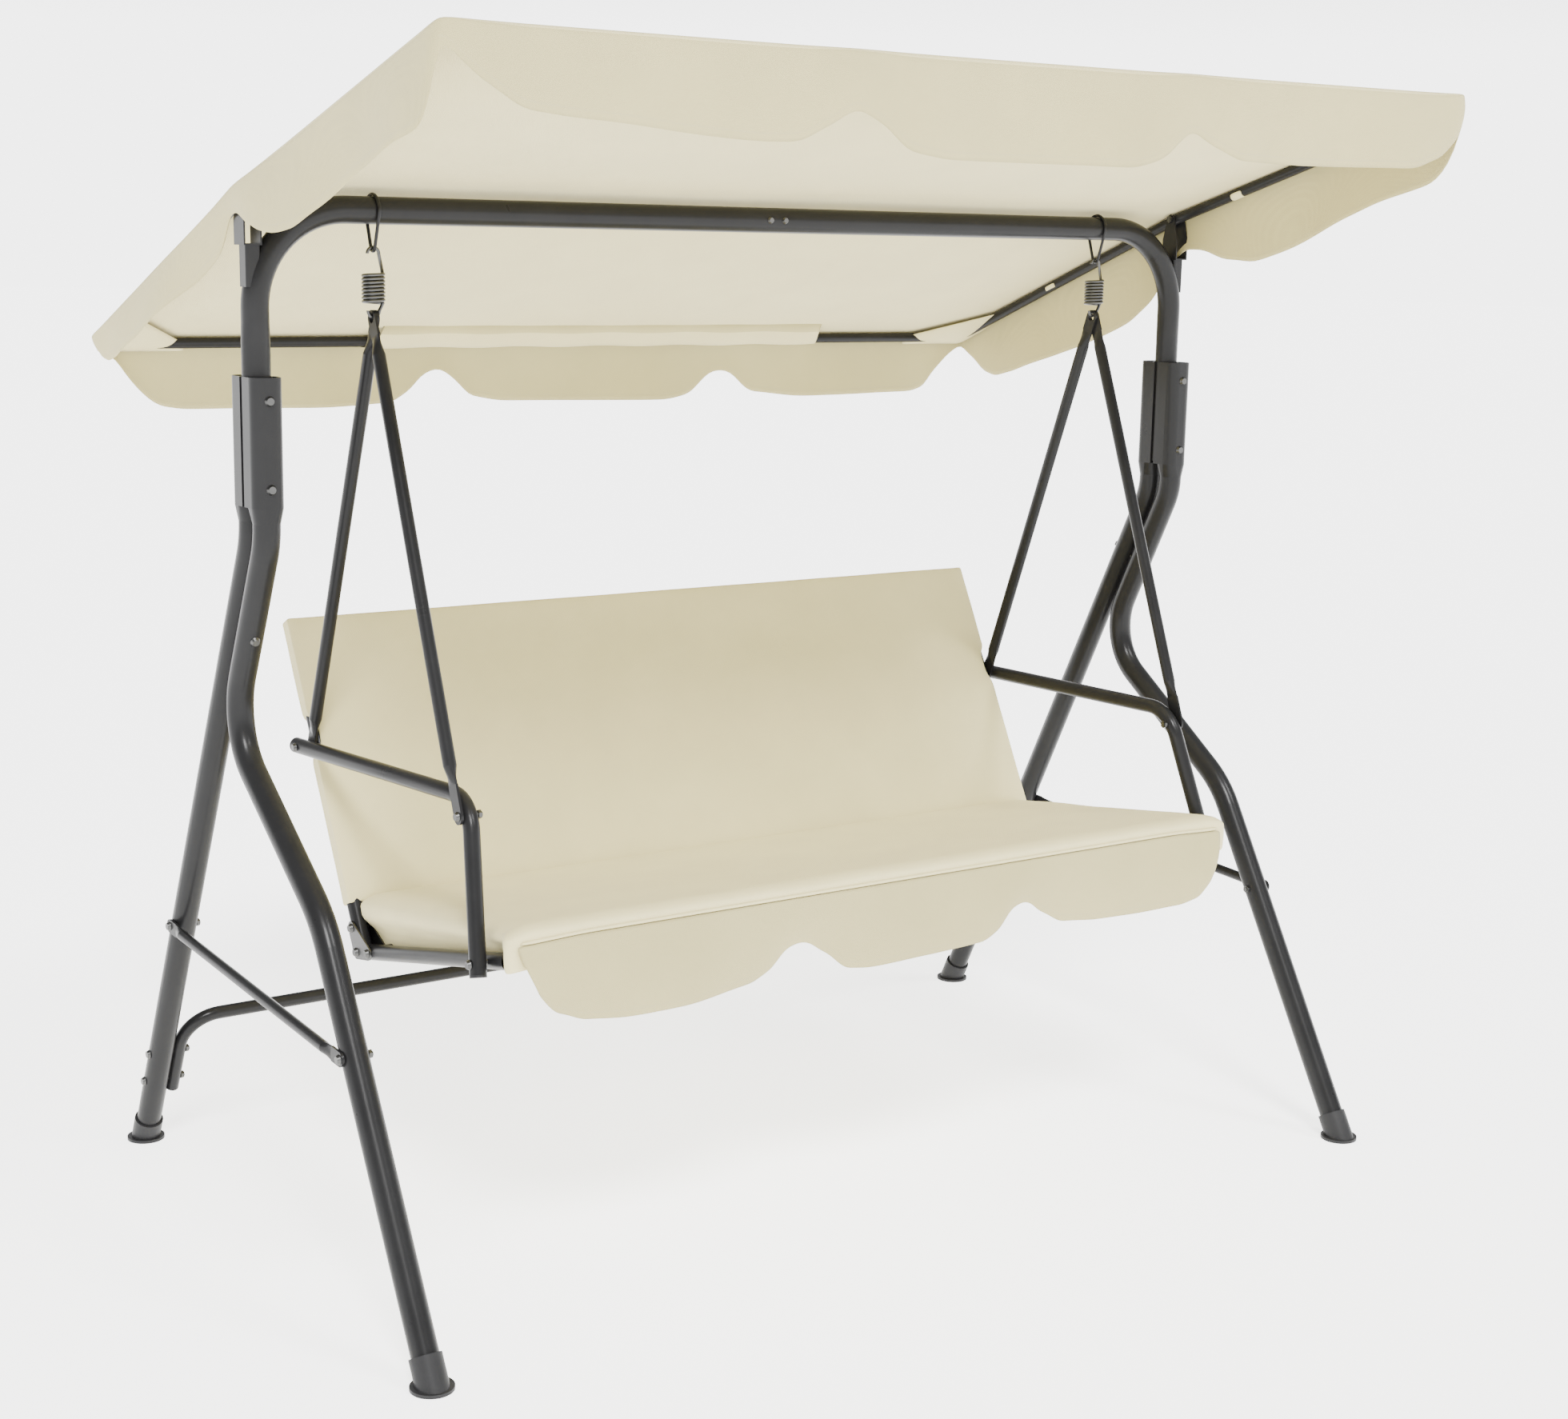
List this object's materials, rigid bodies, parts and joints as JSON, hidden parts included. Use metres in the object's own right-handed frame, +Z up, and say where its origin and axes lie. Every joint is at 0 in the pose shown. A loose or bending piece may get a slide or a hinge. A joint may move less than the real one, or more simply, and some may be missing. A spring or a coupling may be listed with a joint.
{
  "type": "canopy swing seat",
  "caption": "Garden swing seat with a padded bench hung from sprung arms on a bent-tube A-frame, under a tilting scalloped canopy.",
  "frame": {"origin": "centre of the base on the ground, below the middle of the beam", "axes": "+X along the beam, +Y to the rear, +Z up"},
  "size_m": [1.822, 1.256, 1.778],
  "materials": {
    "frame_steel": "glossy dark grey powder coat",
    "ring_steel": "dark coated wire",
    "zinc_steel": "zinc plated",
    "cap_plastic": "matt black moulded",
    "canopy_fabric": "woven polyester, sand white",
    "seat_fabric": "woven polyester, sand white, piped edges",
    "webbing": "woven webbing"
  },
  "bodies": {
    "frame": {"beam_bolts": "zinc_steel", "beam_left": "frame_steel", "beam_right": "frame_steel", "canopy_bracket_left": "frame_steel", "canopy_bracket_right": "frame_steel", "canopy_pivot_bolt_left": "zinc_steel", "canopy_pivot_bolt_right": "zinc_steel", "foot_cap_front_left": "cap_plastic", "foot_cap_front_right": "cap_plastic", "foot_cap_rear_left": "cap_plastic", "foot_cap_rear_right": "cap_plastic", "front_leg_left": "frame_steel", "front_leg_right": "frame_steel", "post_bolts_left": "zinc_steel", "post_bolts_right": "zinc_steel", "rear_crossbar": "frame_steel", "rear_leg_left": "frame_steel", "rear_leg_right": "frame_steel", "side_bolts_left": "zinc_steel", "side_bolts_right": "zinc_steel", "side_brace_left": "frame_steel", "side_brace_right": "frame_steel"},
    "canopy": {"canopy_cover": "canopy_fabric", "canopy_front_rail": "frame_steel", "canopy_rail_spigots": "frame_steel", "canopy_rear_rail": "frame_steel", "canopy_side_rail_left": "frame_steel", "canopy_side_rail_right": "frame_steel", "canopy_ties": "canopy_fabric"},
    "rings": {"hanger_ring_left": "ring_steel", "hanger_ring_right": "ring_steel"},
    "springs": {"spring_left": "zinc_steel", "spring_right": "zinc_steel"},
    "seat": {"armrest_left": "frame_steel", "armrest_plugs_left": "cap_plastic", "armrest_plugs_right": "cap_plastic", "armrest_right": "frame_steel", "back_frame": "frame_steel", "back_lower_rail": "frame_steel", "backrest_cover": "seat_fabric", "front_arm_left": "frame_steel", "front_arm_right": "frame_steel", "hinge_bolts_left": "zinc_steel", "hinge_bolts_right": "zinc_steel", "hinge_plates_left": "zinc_steel", "hinge_plates_right": "zinc_steel", "rear_arm_left": "frame_steel", "rear_arm_right": "frame_steel", "seat_bolts_left": "zinc_steel", "seat_bolts_right": "zinc_steel", "seat_front_rail": "frame_steel", "seat_pad": "seat_fabric", "seat_rear_rail": "frame_steel", "seat_side_tube_left": "frame_steel", "seat_side_tube_right": "frame_steel", "seat_skirt": "seat_fabric", "seat_straps": "webbing"}
  },
  "joints": [
    {"name": "canopy_tilt", "type": "hinge", "parent": "frame", "child": "canopy", "pos_m": [0, 0, 1.58], "axis": [1, 0, 0], "range_deg": [-8, 8]},
    {"name": "ring_swing", "type": "hinge", "parent": "frame", "child": "rings", "pos_m": [0, 0, 1.56], "axis": [1, 0, 0], "range_deg": [-20, 20]},
    {"name": "spring_stretch", "type": "slide", "parent": "rings", "child": "springs", "axis": [0, 0, -1], "range_m": [0, 0.02], "stiffness_N_per_m": 40000, "springref_m": -0.03, "deforming": ["spring_left", "spring_right"]},
    {"name": "seat_swing", "type": "hinge", "parent": "springs", "child": "seat", "pos_m": [0, 0, 1.406], "axis": [1, 0, 0], "range_deg": [-10, 10]}
  ]
}
